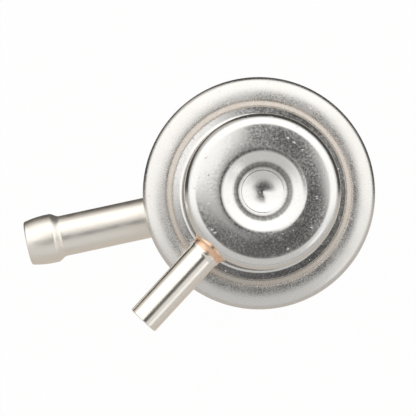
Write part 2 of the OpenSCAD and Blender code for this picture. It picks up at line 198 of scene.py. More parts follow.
class RegulatorTubes(bpy.types.PropertyGroup):
    """Sizes of the fuel tubes, the vacuum tube and their brazed joints."""

    fuel_r: length("Fuel tube", 4.0, "Outside radius of the fuel tubes")
    fuel_in: length("Tube inset", 2.1, "Depth of the inlet tube's end inside the cup's outer wall")
    bead_mouth_r: length("Bead mouth", 4.35, "Radius at the bead's mouth")
    bead_crest: length("Bead crest", 4.8, "Distance of the crest's middle from the mouth")
    bead_land: length("Bead land", 0.8, "Length of the cylindrical land on the crest")
    bead_l: length("Bead length", 7.1, "Length of the whole bead")
    mouth_round: length("Mouth round", 0.5, "Rounding of the mouth's outer edge")
    vacuum_in: length("Vacuum inset", 2.0, "Depth of the vacuum tube's end inside the cap's outer wall")
    cut_edge: length("Cut edge", 0.15, "Bevel on the vacuum tube's cut end")
    root_r: length("Root", 3.15, "Radius of the vacuum tube's swelled root")
    root_end: length("Root end", 15.8, "Distance from the axis to the end of the root")
    root_taper: length("Root taper", 0.5, "Length of the taper from root to tube")
    braze_gap: length("Braze gap", 0.05, "Gap that the braze runs into round each tube")
    inlet_braze_l: length("Inlet braze", 1.3, "Reach of the braze along the inlet tube")
    inlet_braze_r: length("Inlet hollow", 2.4, "Radius of the inlet braze's hollow")
    inlet_braze_w: length("Inlet foot", 1.4, "Width of the inlet braze's foot on the wall")
    vacuum_braze_l: length("Vacuum braze", 0.9, "Reach of the braze along the vacuum tube")
    vacuum_braze_w: length("Vacuum foot", 0.55, "Thickness of the vacuum braze at its foot, beside the tube")
    return_braze_r: length("Return braze", 1.4, "Size of the return braze's hollow fillet")


class RegulatorStack(bpy.types.PropertyGroup):
    """Sizes of the flexing inner pieces."""

    fold_x: length("Fold", 12.4, "Radius along the middle of the diaphragm's fold")
    fold_r: length("Fold height", 1.1, "Radius of the fold, to the middle of the rubber")
    stud_hole_r: length("Stud hole", 3.35, "Radius of the diaphragm's hole for the riveted stud")
    wire_d: length("Wire", 2.2, "Wire diameter of the main spring")
    coil_air: length("Coil air", 0.06, "Free air between a closed end turn and the next")
    open_turns: bpy.props.FloatProperty(name="Open turns", description="Turns between the closed ends",
                                        default=2.5)


class RegulatorFinish(bpy.types.PropertyGroup):
    """Colours of the finishes."""

    zinc: colour("Zinc plate", "#E2E2E1", "Clear zinc plate on the cap")
    zinc_rim: colour("Rim plate", "#E0DFDD", "Clear zinc plate on the tumbled cup")
    # painted shade: a dark colour laid on the wall of the crown's pocket, where shade falls
    pocket_shade: colour("Recess", "#45423E", "Plate left thin and dull in the crown's pocket")
    burnish: colour("Burnish", "#E8DACD", "Plate rubbed thin by the crimping rolls, on the lip")
    nickel: colour("Nickel plate", "#F1EDE6", "Bright nickel plate on the tubes")
    copper: colour("Copper", "#F2CDB0", "Copper braze, run and flushed")
    phosphate: colour("Phosphate", "#55534F", "Phosphate coat on the springs")
    steel: colour("Steel", "#C4C1BB", "Bare pressed and turned steel")
    brass: colour("Brass", "#D5B877", "Turned brass")
    rubber: colour("Rubber", "#2A2A2B", "Cloth-backed rubber")


class RegulatorStage(bpy.types.PropertyGroup):
    """The camera of the photographed view and the light tent round it."""

    distance: length("Distance", 400, "Camera's height above the rim's plane")
    aim_z: length("Aim height", 18.65, "Height of the rim's plane above the base")
    shift_x: length("Aim across", 9.93, "How far the axis stands right of the picture's middle")
    shift_y: length("Aim up", 2.91, "How far the axis stands above the picture's middle")
    roll: degrees("Roll", 12.19, "Turn of the part in the picture")
    tilt_x: degrees("Tilt", -0.81, "Lean of the part about the picture's level line")
    tilt_y: degrees("Lean", 1.18, "Lean of the part about the picture's upright line")
    lens: bpy.props.FloatProperty(name="Lens", description="Focal length", default=180.1, unit="CAMERA")
    tent: number("Tent", 1.32, "Radiance of the tent's side walls")
    tent_back: number("Back", 1.45, "Radiance of the tent's back wall, above the picture")
    tent_front: number("Front", 0.7, "Radiance of the tent's near wall, below the picture")
    tent_hem: number("Hem", 0.4, "Share of the walls' light that is left at the tent's shaded hem")
    tent_tone: colour("Tent tone", "#FFFDFA", "Warm tone of the tent's cloth")
    opening: number("Opening", 0.08, "Radiance of the dark opening that the camera looks through")
    softbox_low: number("Softbox's foot", 0.04, "Share of the softbox's light that is left at its lower end")
    lamp: number("Lamp", 0.5, "Radiance that the lamp on the near right adds to the tent")
    pane: number("Pane", 0.7, "Share of the opening that the pane on the right lights")
    table_back: number("Table's back", 0.08, "Radiance of the table behind the tubes")
    table_front: number("Table's front", 0.62, "Radiance of the table in front of the tubes")
    table_far: number("Table's far part", 0.7, "Radiance of the table far from the part")
    table_tone: colour("Table", "#FFF6EB", "Warm tone of the table in the metal")


def arc(x, z, radius, start, end, count):
    """Points on a circle round (x, z) from one angle to another, in degrees."""
    angle = np.radians(np.linspace(start, end, count))
    return np.column_stack((x + radius * np.cos(angle), z + radius * np.sin(angle)))


def densify(points, step):
    """The same outline without doubled points, its long stretches cut so that none is longer than step."""
    points = points[np.r_[True, np.linalg.norm(np.diff(points, axis=0), axis=1) > 1e-8]]
    cuts = np.maximum(1, np.ceil(np.linalg.norm(np.diff(points, axis=0), axis=1) / step)).astype(int)
    stretches = [np.linspace(p, q, n, endpoint=False) for p, q, n in zip(points[:-1], points[1:], cuts)]
    return np.vstack(stretches + [points[-1:]])


def basis(axis):
    """Two unit vectors that make a right-handed set with the axis."""
    helper = np.array([0.0, 0.0, 1.0]) if abs(axis[2]) < 0.9 else np.array([1.0, 0.0, 0.0])
    side = np.cross(helper, axis)
    side /= np.linalg.norm(side)
    return side, np.cross(axis, side)


def sweep_round(radius, along, origin, axis):
    """Vertex grid of P(t) = origin + along * axis + radius * (cos t * u + sin t * v), a column for each t.

    radius and along are (rows, columns) arrays, or one column that every angle shares."""
    u, v = basis(np.asarray(axis, float))
    columns = max(radius.shape[1], along.shape[1])
    columns = ROUND if columns == 1 else columns
    t = np.arange(columns) * 2 * np.pi / columns
    spoke = np.cos(t)[:, None] * u + np.sin(t)[:, None] * v
    return np.asarray(origin, float) + along[..., None] * axis + radius[..., None] * spoke[None]


def grid_faces(rows, columns, wrap_rows):
    """Quads of a vertex grid whose columns close round the axis; its rows close too if wrap_rows is true."""
    first = np.arange(rows if wrap_rows else rows - 1)
    i, k = np.meshgrid(first, np.arange(columns), indexing="ij")
    below, beside = (i + 1) % rows, (k + 1) % columns
    corners = ((i, k), (i, beside), (below, beside), (below, k))
    return np.stack([row * columns + column for row, column in corners], -1).reshape(-1, 4)


def capped_faces(rows, columns):
    """Quads of a vertex grid whose columns close round, and at each end a fan to a vertex of its own."""
    k = np.arange(columns)
    beside, last, hub = (k + 1) % columns, (rows - 1) * columns, rows * columns
    corners = ((hub, beside, k), (last + k, last + beside, hub + 1))
    fans = np.vstack([np.column_stack(np.broadcast_arrays(*fan)) for fan in corners])
    return grid_faces(rows, columns, False).tolist() + fans.tolist()


def revolve(outline, origin=(0, 0, 0), axis=(0, 0, 1)):
    """A closed surface of revolution. The outline's points are (radius, distance along the axis), with the
    solid on its left. One that starts and ends on the axis gets two poles, any other closes on itself."""
    radius, along = outline[:, :1], outline[:, 1:]
    if outline[0, 0] > 1e-9:
        grid = sweep_round(radius, along, origin, axis)
        return grid.reshape(-1, 3), grid_faces(len(outline), ROUND, True).tolist()
    grid = sweep_round(radius[1:-1], along[1:-1], origin, axis)
    poles = np.asarray(origin, float) + outline[[0, -1], 1][:, None] * np.asarray(axis, float)
    return np.vstack((grid.reshape(-1, 3), poles)), capped_faces(len(grid), ROUND)


def new_mesh(name, vertices, faces):
    """A mesh of these vertices and faces, smooth but for edges sharper than a bend."""
    mesh = bpy.data.meshes.new(name)
    mesh.from_pydata(vertices.tolist(), [], faces)
    mesh.validate()
    finish_shading(mesh)
    return mesh


def finish_shading(mesh):
    """Smooth shading, split only at cut edges."""
    mesh.shade_smooth()
    mesh.set_sharp_from_angle(angle=SHARP)


def add_piece(name, vertices, faces, material, node, slot, body="housing"):
    """Puts a surface into the scene as the piece that stands for a node, riding on a body if one is given."""
    piece = bpy.data.objects.new(name, new_mesh(name, vertices, faces))
    bpy.context.scene.collection.objects.link(piece)
    piece.data.materials.append(material)
    if body:
        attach(piece, body)
    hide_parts(node)
    return piece


def drill(piece, origin, axis, radius, start, end):
    """Cuts a round hole through a piece, from one distance along the axis to another."""
    outline = densify(np.array([(0, start), (radius, start), (radius, end), (0, end)]), (end - start) / 4)
    cutter = bpy.data.objects.new("drill", new_mesh("drill", *revolve(outline, origin, axis)))
    bpy.context.scene.collection.objects.link(cutter)
    cut = piece.modifiers.new("hole", "BOOLEAN")
    cut.operation, cut.solver, cut.object = "DIFFERENCE", "EXACT", cutter
    bpy.context.view_layer.update()
    drilled = bpy.data.meshes.new_from_object(piece.evaluated_get(bpy.context.evaluated_depsgraph_get()))
    piece.modifiers.clear()
    whole, name = piece.data, piece.data.name
    piece.data = drilled
    bpy.data.meshes.remove(whole)
    drilled.name = name
    bpy.data.objects.remove(cutter)
    finish_shading(drilled)


def wire(node, inputs):
    """Sets a node's inputs, given by name or in their order. A socket as the value is linked, and so is the
    first output in use of a node."""
    for key, value in inputs.items() if isinstance(inputs, dict) else enumerate(inputs):
        if isinstance(value, bpy.types.Node):
            value = next(output for output in value.outputs if output.enabled)
        if isinstance(value, bpy.types.NodeSocket):
            node.id_data.links.new(value, node.inputs[key])
        else:
            node.inputs[key].default_value = value


def add_node(tree, kind, inputs=(), **settings):
    """Adds a shader node with its inputs and settings. MapRange takes a value and the ends of two ranges."""
    node = tree.nodes.new("ShaderNode" + kind)
    for key, value in settings.items():
        setattr(node, key, value)
    wire(node, inputs)
    return node


def per(size_mm):
    """Texture scale that gives a pattern of this real size."""
    return 1 / (size_mm * MM)


def opaque(rgb):
    """A linear colour with full alpha."""
    return (*rgb, 1.0)


def shade_of(rgb, factor):
    """The same hue, darker or lighter."""
    return opaque(tuple(min(1.0, c * factor) for c in rgb))


def new_metal(name, rgb, roughness):
    """A named metallic material, with its way to add nodes, its shader and the object coordinates."""
    material = bpy.data.materials.new(name)
    material.use_nodes = True
    shader = material.node_tree.nodes["Principled BSDF"]
    add = partial(add_node, material.node_tree)
    wire(shader, {"Base Color": opaque(rgb), "Metallic": 1.0, "Roughness": roughness})
    return material, add, shader, add("TexCoord").outputs["Object"]


def shade_and_lift(add, shader, pattern, rgb, dark, light, relief_um, strength=1.0):
    """Lets a pattern mix two shades of a colour and lift the surface. Returns the mixed colour."""
    tone = add("Mix", {"Factor": pattern, "A": shade_of(rgb, dark), "B": shade_of(rgb, light)}, **RGBA)
    relief = add("Bump", {"Height": pattern, "Strength": strength, "Distance": relief_um * MICRON})
    wire(shader, {"Base Color": tone, "Normal": relief})
    return tone


def zinc_plate(name, rgb, roughness, frost_mm, relief_um, scuffs, rub_and_shade_ring):
    """Drawn steel sheet, barrel zinc plated and left clear.

    The plate's crystals lie smooth and dull side by side, a frosty grain that fills the dark reflections;
    tumbling leaves rare nicks, and the crimping rolls short radial scuffs. The last argument is a ring
    streaked by the scuffs: plate rubbed thin on the cup's lip, painted shade in the cap's pocket. It holds
    the ring's colour, its two radii and the height above which it lies."""
    cloud_mm, nick_mm, nick_um = 4.0, 0.9, 30
    scuff_mm, scuff_l_mm, scuff_at = 0.22, 1.6, 20 * MM  # width, length, and the radius that has this width
    dull, soft = 0.12, 0.4 * MM  # added roughness of the dull crystals, half width of the band's soft edge
    crystal_range, nick_range = (0.3, 0.72), (0.7, 0.78)  # of the noise
    material, add, shader, place = new_metal(name, rgb, roughness)
    sizes = ((frost_mm, 3.0), (cloud_mm, 4.0), (nick_mm, 2.0))
    frost, cloud, dents = (add("TexNoise", {"Vector": place, "Scale": per(size), "Detail": detail})
                           for size, detail in sizes)
    nick = add("MapRange", (dents, *nick_range), **SMOOTH)
    flat = add("VectorMath", (place, (1, 1, 0)), operation="MULTIPLY")
    spoke = add("VectorMath", (flat,), operation="NORMALIZE")
    reach = add("VectorMath", (flat,), operation="LENGTH")
    fan = add("VectorMath", {0: spoke, "Scale": scuff_at * per(scuff_mm)}, operation="SCALE")
    depth = add("Math", (reach, per(scuff_l_mm)), operation="MULTIPLY")
    along = add("CombineXYZ", {"Z": depth})
    rays = add("VectorMath", (fan, along), operation="ADD")
    scuff = add("TexNoise", {"Vector": rays, "Scale": 1.0, "Detail": 2.0})
    wear = add("Math", (scuff, scuffs, frost), operation="MULTIPLY_ADD")
    crystal = add("MapRange", (frost, *crystal_range, roughness, roughness + dull), **SMOOTH)
    patch = add("MapRange", (cloud, *NOISE, 0.85, 1.2))
    rough = add("Math", (crystal, patch), operation="MULTIPLY")
    tone = add("Mix", {"Factor": frost, "A": shade_of(rgb, 0.88), "B": shade_of(rgb, 1.08)}, **RGBA)
    # the ring's colour goes over the plate's tone: rubbed plate on the lip, painted shade in the pocket
    rub_and_shade_colour, start, end, base = rub_and_shade_ring
    outward = add("MapRange", (reach, start - soft, start + soft), **SMOOTH)
    inward = add("MapRange", (reach, end + soft, end - soft), **SMOOTH)
    height = add("SeparateXYZ", (place,)).outputs["Z"]
    above = add("Math", (height, base), operation="GREATER_THAN")
    streak = add("MapRange", (scuff, *NOISE, 0.2, 0.85))
    rub_and_shade_mask = outward
    for share in (inward, above, streak):
        rub_and_shade_mask = add("Math", (rub_and_shade_mask, share), operation="MULTIPLY")
    mottled_rub_and_shade = add("Mix", {"Factor": rub_and_shade_mask, "A": tone, "B": opaque(rub_and_shade_colour)}, **RGBA)
    grain = add("Bump", {"Height": wear, "Strength": 1.0, "Distance": relief_um * MICRON})
    dented = add("Bump", {"Height": nick, "Strength": 1.0, "Distance": nick_um * MICRON, "Normal": grain})
    wire(shader, {"Base Color": mottled_rub_and_shade, "Roughness": rough, "Normal": dented})
    return material


def nickel_plate(name, rgb, axis, roughness, flush=None):
    """Drawn steel tube, bright nickel plated.

    The drawing die leaves faint lines along the tube, and the furnace a soft, slightly yellow sheen. flush is
    the copper colour, and the distances from the stack's axis between which it runs out along the tube."""
    line_l_mm, line_mm, line_um = 14.0, 0.35, 2.5
    cloud_mm, ragged_edge = 2.5, 0.8 * MM
    material, add, shader, place = new_metal(name, rgb, roughness)
    turn = Vector((1, 0, 0)).rotation_difference(Vector(axis)).inverted().to_euler()
    scale = (per(line_l_mm), per(line_mm), per(line_mm))
    lined = add("Mapping", {"Vector": place, "Rotation": turn, "Scale": scale})
    lines = add("TexNoise", {"Vector": lined, "Scale": 1.0, "Detail": 3.0})
    cloud = add("TexNoise", {"Vector": place, "Scale": per(cloud_mm), "Detail": 3.0})
    rough = add("MapRange", (cloud, *NOISE, roughness * 0.85, roughness * 1.15))
    wire(shader, {"Roughness": rough})
    tone = shade_and_lift(add, shader, lines, rgb, 0.93, 1.05, line_um)
    if flush:
        copper, near, far = flush
        flat = add("VectorMath", (place, (1, 1, 0)), operation="MULTIPLY")
        reach = add("VectorMath", (flat,), operation="LENGTH")
        ragged = add("Math", (cloud, ragged_edge, reach), operation="MULTIPLY_ADD")
        run = add("MapRange", (ragged, near, far, 1.0, 0.0), **SMOOTH)
        stained = add("Mix", {"Factor": run, "A": tone, "B": opaque(copper)}, **RGBA)
        wire(shader, {"Base Color": stained})
    return material


def copper_braze(name, rgb):
    """Copper paste, run in the furnace. It gives a soft orange fillet with duller, darker spots of flux."""
    spot_mm, spot_um = 0.7, 15
    material, add, shader, place = new_metal(name, rgb, 0.3)
    spots = add("TexNoise", {"Vector": place, "Scale": per(spot_mm), "Detail": 4.0})
    shade_and_lift(add, shader, spots, rgb, 0.8, 1.12, spot_um)
    wire(shader, {"Roughness": add("MapRange", (spots, *NOISE, 0.22, 0.4))})
    return material


def turned_metal(name, rgb, radian_mm, roughness):
    """Bar metal, turned on a lathe. The tool leaves fine rings round the axis, which widen the highlight.
    radian_mm is the length over which the rings' wave turns by one radian."""
    tool_um = 6
    material, add, shader, place = new_metal(name, rgb, roughness)
    inputs = {"Vector": place, "Scale": per(radian_mm) / WAVE, "Distortion": 0.4, "Detail": 1.0}
    rings = add("TexWave", inputs, wave_type="RINGS", rings_direction="Z").outputs["Fac"]
    shade_and_lift(add, shader, rings, rgb, 0.9, 1.0, tool_um, 0.6)
    return material


def grained_metal(name, rgb, grain_mm, roughness):
    """Steel that was pressed or coiled and phosphated. Its fine, dull grain scatters the light."""
    grain_um = 8
    material, add, shader, place = new_metal(name, rgb, roughness)
    grain = add("TexNoise", {"Vector": place, "Scale": per(grain_mm), "Detail": 4.0})
    shade_and_lift(add, shader, grain, rgb, 0.8, 1.1, grain_um, 0.7)
    rough = add("MapRange", (grain, 0.0, 1.0, roughness * 0.8, min(1.0, roughness * 1.2)))
    wire(shader, {"Roughness": rough})
    return material


def cloth_rubber(name, rgb):
    """Fuel-proof rubber, moulded on cloth. The threads print through as a square relief in a matt black."""
    radian_mm, thread_um = 0.5, 50
    material, add, shader, place = new_metal(name, rgb, 0.65)
    inputs = {"Vector": place, "Scale": per(radian_mm) / WAVE}
    threads = [add("TexWave", inputs, bands_direction=way).outputs["Fac"] for way in "XY"]
    weave = add("Math", threads, operation="MAXIMUM")
    shade_and_lift(add, shader, weave, rgb, 0.8, 1.2, thread_um, 0.5)
    wire(shader, {"Metallic": 0.0})
    return material


def ramp(x, start):
    """Straight ramp from 0 to 1 that sets in along a parabola over the share start."""
    c = np.clip(x, 0, 1)
    return np.where(c < start, c * c / (2 * start), c - start / 2) / (1 - start / 2)


def bowl(x, radius):
    """Parabola that is 1 on the axis and 0 from the radius outwards."""
    return np.clip(1 - (x / radius) ** 2, 0, None)


def dimple_depth(cap, x):
    """Depth below the crown at distance x from the axis: three rounded ramps for the funnel, the pocket and
    the ledge, and two bowls."""
    funnel = ramp((cap.dimple_r - x) / (cap.dimple_r - cap.funnel_r), 0.5)
    pocket = 1 - ramp((x - cap.pocket_r) / (cap.funnel_r - cap.pocket_r), 0.3)
    ledge = 1 - ramp((x - cap.ledge_r) / (cap.pocket_r - cap.ledge_r), 0.3)
    return (cap.funnel_depth * funnel + cap.pocket_depth * pocket + cap.ledge_depth * ledge
            + cap.dish_depth * bowl(x, cap.dish_r) + cap.punch_depth * bowl(x, cap.punch_r))


def shoulder_middle(cap):
    """Radius and height of the middle of the shoulder's arc."""
    return cap.wall_r - cap.shoulder_r, CROWN_Z - cap.crown_fall - cap.shoulder_r


def crease_radius(cap, cup):
    """Radius of the crease between the rim's crown and its lip."""
    return cap.wall_r + cap.bend_r + cup.bare_w + cup.lip_w


def cap_outline(cap, bare_w):
    """The cap's half-section: from the crown's middle down the inside, round the flange and back over the
    outside. The crown is an arc, level at the dimple's mouth, that touches the shoulder's arc; the bend ends
    early in the cone of the bare flange. Inside, the dimple is shallower and stays over the spring seat."""
    flange_top = CAP_Z + cap.sheet
    lean, slope = math.degrees(cap.flange_lean), math.tan(cap.flange_lean)
    foot = cap.wall_r + cap.bend_r
    foot_z = flange_top + cap.bend_r * math.cos(cap.flange_lean)
    foot_z += slope * (bare_w + cap.bend_r * math.sin(cap.flange_lean))
    side, shoulder_z = shoulder_middle(cap)
    run = side - cap.dimple_r
    dome_r = cap.shoulder_r + (run ** 2 + cap.crown_fall ** 2) / (2 * cap.crown_fall)
    dome_z = CROWN_Z - dome_r
    join = 90 - math.degrees(math.asin(run / (dome_r - cap.shoulder_r)))
    x = np.linspace(0, cap.dimple_r, 112)
    depth = dimple_depth(cap, x)
    dimple = np.column_stack((x, CROWN_Z - depth))
    ceiling = np.column_stack((x, CROWN_Z - cap.sheet - depth * cap.inner_depth / depth[0]))
    bend = arc(foot, foot_z, cap.bend_r + cap.sheet, 180, 270 - lean, 9)
    inside = np.vstack((
        ceiling[:-1:4],
        arc(cap.dimple_r, dome_z, dome_r - cap.sheet, 90, join, 5),
        arc(side, shoulder_z, cap.shoulder_r - cap.sheet, join, 0, 9),
        bend,
        [(bend[-1, 0] + (bend[-1, 1] - CAP_Z) / slope, CAP_Z), (FLANGE_R, CAP_Z)]))
    outside = np.vstack((
        [(FLANGE_R, flange_top), (foot + bare_w, flange_top)],
        arc(foot, foot_z, cap.bend_r, 270 - lean, 180, 24),
        arc(side, shoulder_z, cap.shoulder_r, 0, join, 44),
        arc(cap.dimple_r, dome_z, dome_r, join, 90, 24),
        dimple[::-1]))
    return np.vstack((densify(inside, 1.2 * MM), densify(outside, 0.2 * MM)))


def cup_outline(cup, cap, hole):
    """The cup's half-section: down the collar, out along the base, up the wall, round the roll, over crown
    and lip, and back along the inside of the sheet."""
    rim_z, sheet = cup.rim_z, cup.sheet
    flange_top = LIP_TOP - sheet
    neck = hole + sheet + cup.collar_r
    pool = sheet + cup.collar_r
    side = cup.wall_r - cup.base_r
    foot = cup.wall_r + cup.rim_bend_r
    bend_z = rim_z - cup.rim_bend_r
    crease_x = crease_radius(cap, cup)
    roll_r = (LIP_TOP - cup.rim_fall - rim_z) / 2
    roll_x, roll_z = RIM_R - roll_r, rim_z + roll_r
    crown_r = ((roll_x - crease_x) ** 2 + (LIP_TOP - roll_z) ** 2 - roll_r ** 2) / (2 * cup.rim_fall)
    crown_z = LIP_TOP - crown_r
    lean = math.degrees(math.atan2(roll_z - crown_z, roll_x - crease_x))
    gap = (flange_top - CLAMP_Z) / 2
    quarter = np.radians(np.linspace(0, 90, 26))
    lip = np.column_stack((crease_x - cup.lip_w * np.sin(quarter), flange_top + sheet * np.cos(quarter)))
    outside = np.vstack((
        [(hole, cup.collar_h)],
        arc(neck, pool, pool, 180, 270, 16),
        arc(side, cup.base_r, cup.base_r, 270, 360, 24),
        arc(foot, bend_z, cup.rim_bend_r, 180, 90, 16),
        arc(roll_x, roll_z, roll_r, -90, lean, 54),
        arc(crease_x, crown_z, crown_r, lean, 90, 24),
        lip))
    inside = np.vstack((
        [(RIM_R - sheet - gap, flange_top)],
        arc(RIM_R - sheet - gap, CLAMP_Z + gap, gap, 80, -90, 9),
        arc(foot, bend_z, cup.rim_bend_r + sheet, 90, 180, 9),
        arc(side, cup.base_r, cup.base_r - sheet, 360, 270, 9),
        arc(neck, pool, cup.collar_r, 270, 180, 7),
        [(hole + sheet, cup.collar_h)]))
    return np.vstack((densify(outside, 0.3 * MM), densify(inside, 1.5 * MM)))


def bead_radius(tubes, u, crest_r):
    """Outside radius at distance u from a fuel tube's mouth: a quarter round, a parabola up to the crest, a
    flat land and a cosine down to the tube."""
    lip, end, tube_r = tubes.mouth_round, tubes.bead_l, tubes.fuel_r
    rise = tubes.bead_crest - tubes.bead_land / 2
    fall = tubes.bead_crest + tubes.bead_land / 2
    mouth = tubes.bead_mouth_r - lip + np.sqrt(np.clip(u * (2 * lip - u), 0, None))
    swell = crest_r - (crest_r - tubes.bead_mouth_r) * ((rise - u) / (rise - lip)) ** 2
    taper = tube_r + (crest_r - tube_r) * (1 + np.cos(np.pi * (u - fall) / (end - fall))) / 2
    return np.select([u < lip, u < rise, u <= fall, u < end], [mouth, swell, crest_r, taper], tube_r)


def fuel_tube_outline(tubes, crest_r, back, mouth):
    """Half-section of a beaded fuel tube: from its inner end outside to the mouth, and back up the bore."""
    wall = tubes.fuel_r - FUEL_BORE
    u = np.concatenate((tubes.mouth_round * (1 - np.cos(np.linspace(0, np.pi / 2, 14))),
                        np.linspace(tubes.mouth_round, tubes.bead_l, 70)[1:]))
    outer = np.column_stack((bead_radius(tubes, u, crest_r), mouth - u))
    bore = np.maximum(FUEL_BORE, bead_radius(tubes, np.maximum(u, tubes.mouth_round), crest_r) - wall)
    outside = np.vstack(([(tubes.fuel_r, back)], outer[::-1]))
    inside = np.vstack((np.column_stack((bore, mouth - u)), [(FUEL_BORE, back)]))
    return np.vstack((densify(outside, 0.5 * MM), densify(inside, 2 * MM)))


def vacuum_tube_outline(tubes, wall_r, end):
    """Half-section of the vacuum tube: swelled root, taper, plain tube, bevelled mouth and bore."""
    back = wall_r - tubes.vacuum_in
    outside = np.array([(tubes.root_r, back), (tubes.root_r, tubes.root_end),
                        (VACUUM_R, tubes.root_end + tubes.root_taper), (VACUUM_R, end - tubes.cut_edge),
                        (VACUUM_R - tubes.cut_edge, end), (VACUUM_BORE, end)])
    inside = np.array([(VACUUM_BORE, end), (VACUUM_BORE, back)])
    return np.vstack((densify(outside, 0.4 * MM), densify(inside, 2 * MM)[1:]))


def braze_collar(tube_r, tip, hollow, width, skin, origin, axis):
    """A hollow fillet between a tube and a curved wall. At each angle t the hollow's arc leaves the tube at
    the tip, r = tube + hollow - sqrt(hollow^2 - (tip - s)^2), no wider than width, and ends where it meets
    the wall, s = skin(t, r)."""
    def fillet(s):
        return tube_r + np.minimum(width, hollow - np.sqrt(np.clip(hollow ** 2 - (tip - s) ** 2, 0, None)))

    t = (np.arange(ROUND) * 2 * np.pi / ROUND)[None]
    root = skin(t, np.full_like(t, tube_r))
    foot = root
    for _ in range(40):
        foot = skin(t, fillet(foot))
    down = np.linspace(0, 1, 8)[:, None]
    rise = np.linspace(0, 1, 30)[1:-1, None]
    wall_r = tube_r + (fillet(foot) - tube_r) * down[1:]
    arc_s = foot + (tip - foot) * rise
    along = np.vstack((tip + (root - tip) * down, skin(t, wall_r), arc_s))
    radius = np.vstack((np.full((len(down), ROUND), tube_r), wall_r, fillet(arc_s)))
    grid = sweep_round(radius, along, origin, axis)
    return grid.reshape(-1, 3), grid_faces(len(radius), ROUND, True).tolist()


def return_braze_outline(tubes, cup, hole):
    """Half-section of the braze under the base: a fillet on the tube, and the pool in the collar's bend."""
    pool = cup.sheet + cup.collar_r
    size = tubes.return_braze_r
    reach = math.degrees(math.acos((hole + pool - tubes.fuel_r - size) / pool))
    fillet = arc(tubes.fuel_r + size, -size, size, 180, 90, 20)
    bend = arc(hole + pool, pool, pool, 180 + reach, 180, 16)
    back = densify(np.array([(tubes.fuel_r, pool), (tubes.fuel_r, -size)]), 0.4 * MM)
    return np.vstack((fillet, bend, back[:-1]))


def coil_surface(stack, coil_x, low, high):
    """A round wire along a helix with closed, ground ends: the path rises by a wire and its air in the first
    and last turn, and evenly between; heights past the ground faces are cut level. Fans close the ends."""
    sides, steps = 24, 60
    closed = stack.wire_d + stack.coil_air
    turns = stack.open_turns + 2
    t = np.linspace(0, turns, int(turns * steps) + 1)[:, None]
    rise = high - low - 2 * closed
    middle = closed + rise * (t - 1) / stack.open_turns
    top = closed + rise + closed * (t - turns + 1)
    lift = np.where(t < 1, t * closed, np.where(t < turns - 1, middle, top))
    a = np.arange(sides)[None] * 2 * np.pi / sides
    radius = coil_x + stack.wire_d / 2 * np.cos(a)
    z = np.clip(low + lift + stack.wire_d / 2 * np.sin(a), low, high)
    grid = np.stack((radius * np.cos(2 * np.pi * t), radius * np.sin(2 * np.pi * t), z), -1)
    ends = np.array([grid[0].mean(0), grid[-1].mean(0)])
    return np.vstack((grid.reshape(-1, 3), ends)), [face[::-1] for face in capped_faces(len(t), sides)]


def diaphragm_outline(stack, inner, outer):
    """Half-section of the diaphragm: a flat disc with one round fold upwards."""
    half = (CAP_Z - CLAMP_Z) / 2
    mid = CLAMP_Z + half
    hollow, hump = stack.fold_r - half, stack.fold_r + half
    below = np.vstack(([(inner, CLAMP_Z)], arc(stack.fold_x, mid, hollow, 180, 0, 24)[1:-1],
                       [(stack.fold_x + hollow, CLAMP_Z), (outer, CLAMP_Z)]))
    above = np.vstack(([(outer, CAP_Z)], arc(stack.fold_x, mid, hump, 0, 180, 32)[3:-3], [(inner, CAP_Z)]))
    return np.vstack((densify(below, 0.6 * MM), densify(above, 0.6 * MM)))


class RegulatorOperator(bpy.types.Operator):
    """Shared options of the regulator's operators."""

    bl_options = {"REGISTER", "UNDO"}


class REGULATOR_OT_cap(RegulatorOperator):
    """Builds the drawn and plated spring cap"""

    bl_idname = "regulator.cap"
    bl_label = "Spring cap"

    def execute(self, context):
        scene = context.scene
        cap, tubes, finish = scene.regulator_cap, scene.regulator_tubes, scene.regulator_finish
        brim, deepest = 0.1 * MM, 4 * MM  # the painted shade runs past the pocket's edge and ends under its floor
        # painted shade on the pocket's wall: a dark ring from the pocket's foot to just past the funnel's end
        pocket_shade = (finish.pocket_shade, cap.pocket_r, cap.funnel_r + brim, CROWN_Z - deepest)
        plate = zinc_plate("drawn_steel_clear_zinc", finish.zinc, roughness=0.125, frost_mm=0.4,
                           relief_um=2.5, scuffs=0.2, rub_and_shade_ring=pocket_shade)
        outline = cap_outline(cap, scene.regulator_cup.bare_w)
        piece = add_piece("cap_shell", *revolve(outline), plate, "spring_cap", "cap_steel")
        start = cap.wall_r - tubes.vacuum_in - tubes.braze_gap
        hole = tubes.root_r + tubes.braze_gap
        drill(piece, (0, 0, VACUUM_Z), VACUUM_AXIS, hole, start, cap.wall_r * PAST_WALL)
        return {"FINISHED"}


class REGULATOR_OT_cup(RegulatorOperator):
    """Builds the drawn cup with its rolled and crimped rim"""

    bl_idname = "regulator.cup"
    bl_label = "Crimped cup"

    def execute(self, context):
        scene = context.scene
        cup, cap, tubes = scene.regulator_cup, scene.regulator_cap, scene.regulator_tubes
        finish = scene.regulator_finish
        burnish = (finish.burnish, cap.wall_r, crease_radius(cap, cup), LIP_TOP - cup.sheet)
        plate = zinc_plate("tumbled_steel_clear_zinc", finish.zinc_rim, roughness=0.235, frost_mm=0.3,
                           relief_um=10.0, scuffs=0.6, rub_and_shade_ring=burnish)
        hole = tubes.fuel_r + tubes.braze_gap
        outline = cup_outline(cup, cap, hole)
        piece = add_piece("cup_shell", *revolve(outline), plate, "lower_cup", "cup_steel")
        drill(piece, (0, 0, INLET_Z), INLET_AXIS, hole, cup.wall_r / 2, cup.wall_r * PAST_WALL)
        return {"FINISHED"}


